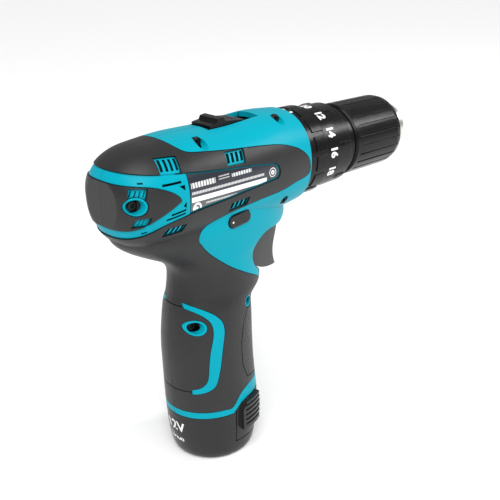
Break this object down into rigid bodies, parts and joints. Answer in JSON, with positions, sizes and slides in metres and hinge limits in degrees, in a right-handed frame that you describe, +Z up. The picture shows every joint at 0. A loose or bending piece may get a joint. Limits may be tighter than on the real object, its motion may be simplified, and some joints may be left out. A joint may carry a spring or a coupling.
{
  "type": "cordless drill",
  "caption": "Compact pistol-grip cordless hammer drill with two-tone shell, torque and mode rings, keyless chuck and slide-in battery.",
  "frame": {"origin": "middle of the battery's flat base, which the drill stands on", "axes": "+X forwards along the spindle to the chuck, +Y to the left of someone holding the drill, +Z up"},
  "size_m": [0.1995, 0.0527, 0.1773],
  "materials": {
    "shell": "satin moulded nylon, teal",
    "soft": "fine-grained soft overmould, charcoal",
    "plate": "printed film, dark blue to grey",
    "black_screw": "black oxide steel",
    "grey_plastic": "smooth satin",
    "black_plastic": "satin black",
    "inner_plastic": "glass-filled nylon",
    "lens": "clear moulded lens",
    "can_steel": "zinc-plated",
    "magnet": "sintered ferrite",
    "steel": "turned and ground",
    "carbon": "pressed carbon",
    "laminations": "stacked laminations",
    "copper": "enamelled copper",
    "case_alloy": "die cast",
    "chuck_steel": "bright turned",
    "jaw_steel": "hardened and ground",
    "battery_plastic": "satin charcoal",
    "cell_wrap": "shrink wrap"
  },
  "bodies": {
    "housing": {"housing_right": "shell", "housing_left": "shell", "overmould_right": "soft", "overmould_left": "soft", "rating_plate_right": "plate", "rating_plate_left": "plate", "housing_screws": "black_screw", "trigger_switch": "inner_plastic", "trigger_spring": "steel", "lamp_lens": "lens", "motor_can": "can_steel", "motor_magnets": "magnet", "motor_end_cap": "inner_plastic", "motor_bearings": "steel", "carbon_brushes": "carbon", "first_ring_gear": "steel", "third_ring_gear": "steel", "gear_case": "case_alloy", "gear_case_back": "inner_plastic", "spindle_bearings": "steel", "clutch_spring": "steel", "nose_cap": "black_plastic", "terminal_block": "inner_plastic"},
    "trigger": {"trigger": "grey_plastic"},
    "reversing_lever": {"reversing_lever": "black_plastic"},
    "speed_selector": {"speed_selector": "black_plastic", "shift_yoke": "steel"},
    "armature": {"armature_shaft": "steel", "armature_core": "laminations", "armature_windings": "copper", "commutator": "copper", "cooling_fan": "inner_plastic", "motor_pinion": "steel"},
    "first_carrier": {"first_carrier": "steel", "second_planets": "steel", "second_carrier": "steel"},
    "shift_ring": {"shift_ring_gear": "steel"},
    "spindle": {"output_carrier": "steel", "spindle": "steel", "chuck_body": "chuck_steel", "chuck_screw": "black_screw"},
    "chuck_sleeve": {"chuck_sleeve": "black_plastic", "chuck_nut": "chuck_steel"},
    "mode_ring": {"mode_ring": "black_plastic"},
    "torque_ring": {"torque_ring": "black_plastic"},
    "clutch_nut": {"clutch_nut": "inner_plastic"},
    "battery": {"battery_case": "battery_plastic", "battery_cells": "cell_wrap", "battery_terminals": "copper"},
    "latch_right": {"battery_latch_right": "battery_plastic"},
    "latch_left": {"battery_latch_left": "battery_plastic"},
    "first_planet_1": {"first_planet_1": "steel"},
    "third_planet_1": {"third_planet_1": "steel"},
    "jaw_1": {"jaw_1": "jaw_steel"},
    "first_planet_2": {"first_planet_2": "steel"},
    "third_planet_2": {"third_planet_2": "steel"},
    "jaw_2": {"jaw_2": "jaw_steel"},
    "first_planet_3": {"first_planet_3": "steel"},
    "third_planet_3": {"third_planet_3": "steel"},
    "jaw_3": {"jaw_3": "jaw_steel"}
  },
  "joints": [
    {"name": "trigger_pull", "type": "slide", "parent": "housing", "child": "trigger", "axis": [-1, 0, 0], "range_m": [0, 0.006], "stiffness_N_per_m": 700, "springref_m": -0.003, "deforming": ["trigger_spring"]},
    {"name": "reverser_slide", "type": "slide", "parent": "housing", "child": "reversing_lever", "axis": [0, 1, 0], "range_m": [-0.003, 0.003]},
    {"name": "speed_select", "type": "slide", "parent": "housing", "child": "speed_selector", "axis": [1, 0, 0], "range_m": [0, 0.0056]},
    {"name": "armature_spin", "type": "hinge", "parent": "housing", "child": "armature", "pos_m": [0, 0, 0.15], "axis": [1, 0, 0], "continuous": true},
    {"name": "first_carrier_spin", "type": "hinge", "parent": "housing", "child": "first_carrier", "pos_m": [0, 0, 0.15], "axis": [1, 0, 0], "continuous": true},
    {"name": "shift_ring_slide", "type": "slide", "parent": "first_carrier", "child": "shift_ring", "axis": [1, 0, 0], "range_m": [0, 0.0056]},
    {"name": "spindle_spin", "type": "hinge", "parent": "housing", "child": "spindle", "pos_m": [0, 0, 0.15], "axis": [1, 0, 0], "continuous": true},
    {"name": "sleeve_turn", "type": "hinge", "parent": "spindle", "child": "chuck_sleeve", "pos_m": [0.11, 0, 0.15], "axis": [1, 0, 0], "range_deg": [-600, 1440]},
    {"name": "mode_ring_turn", "type": "hinge", "parent": "housing", "child": "mode_ring", "pos_m": [0.056, 0, 0.15], "axis": [1, 0, 0], "range_deg": [-30, 30]},
    {"name": "torque_ring_turn", "type": "hinge", "parent": "housing", "child": "torque_ring", "pos_m": [0.074, 0, 0.15], "axis": [1, 0, 0], "range_deg": [-112, 126]},
    {"name": "clutch_nut_slide", "type": "slide", "parent": "torque_ring", "child": "clutch_nut", "axis": [1, 0, 0], "range_m": [-0.0019, 0.0021], "deforming": ["clutch_spring"]},
    {"name": "battery_slide", "type": "slide", "parent": "housing", "child": "battery", "axis": [0, 0, -1], "range_m": [0, 0.055]},
    {"name": "latch_right_press", "type": "hinge", "parent": "battery", "child": "latch_right", "pos_m": [0.007, -0.0218, 0.0088], "axis": [-1, 0, 0], "range_deg": [0, 3.5], "stiffness_Nm_per_rad": 1},
    {"name": "latch_left_press", "type": "hinge", "parent": "battery", "child": "latch_left", "pos_m": [0.007, 0.0218, 0.0088], "axis": [1, 0, 0], "range_deg": [0, 3.5], "stiffness_Nm_per_rad": 1},
    {"name": "first_planet_1_spin", "type": "hinge", "parent": "first_carrier", "child": "first_planet_1", "pos_m": [0.0052, 0.00975, 0.15], "axis": [1, 0, 0], "continuous": true},
    {"name": "third_planet_1_spin", "type": "hinge", "parent": "spindle", "child": "third_planet_1", "pos_m": [0.0281, 0.0117, 0.15], "axis": [1, 0, 0], "continuous": true},
    {"name": "jaw_1_slide", "type": "slide", "parent": "spindle", "child": "jaw_1", "axis": [0.9659, -0.2588, 0], "range_m": [-0.0117, 0.0049]},
    {"name": "first_planet_2_spin", "type": "hinge", "parent": "first_carrier", "child": "first_planet_2", "pos_m": [0.0052, -0.00487, 0.15844], "axis": [1, 0, 0], "continuous": true},
    {"name": "third_planet_2_spin", "type": "hinge", "parent": "spindle", "child": "third_planet_2", "pos_m": [0.0281, -0.00585, 0.16013], "axis": [1, 0, 0], "continuous": true},
    {"name": "jaw_2_slide", "type": "slide", "parent": "spindle", "child": "jaw_2", "axis": [0.9659, 0.1294, -0.2241], "range_m": [-0.0117, 0.0049]},
    {"name": "first_planet_3_spin", "type": "hinge", "parent": "first_carrier", "child": "first_planet_3", "pos_m": [0.0052, -0.00487, 0.14156], "axis": [1, 0, 0], "continuous": true},
    {"name": "third_planet_3_spin", "type": "hinge", "parent": "spindle", "child": "third_planet_3", "pos_m": [0.0281, -0.00585, 0.13987], "axis": [1, 0, 0], "continuous": true},
    {"name": "jaw_3_slide", "type": "slide", "parent": "spindle", "child": "jaw_3", "axis": [0.9659, 0.1294, 0.2241], "range_m": [-0.0117, 0.0049]}
  ],
  "couplings": [
    {"joint": "first_carrier_spin", "follows": "armature_spin", "ratio": 0.2},
    {"joint": "spindle_spin", "follows": "armature_spin", "ratio": 0.066667},
    {"joint": "shift_ring_slide", "follows": "speed_select", "ratio": 1},
    {"joint": "clutch_nut_slide", "follows": "torque_ring_turn", "m_per_rad": 0.00095},
    {"joint": "first_planet_1_spin", "follows": "armature_spin", "ratio": -0.53333},
    {"joint": "third_planet_1_spin", "follows": "armature_spin", "ratio": -0.26667},
    {"joint": "jaw_1_slide", "follows": "sleeve_turn", "m_per_rad": -0.0004615},
    {"joint": "first_planet_2_spin", "follows": "armature_spin", "ratio": -0.53333},
    {"joint": "third_planet_2_spin", "follows": "armature_spin", "ratio": -0.26667},
    {"joint": "jaw_2_slide", "follows": "sleeve_turn", "m_per_rad": -0.0004615},
    {"joint": "first_planet_3_spin", "follows": "armature_spin", "ratio": -0.53333},
    {"joint": "third_planet_3_spin", "follows": "armature_spin", "ratio": -0.26667},
    {"joint": "jaw_3_slide", "follows": "sleeve_turn", "m_per_rad": -0.0004615}
  ]
}
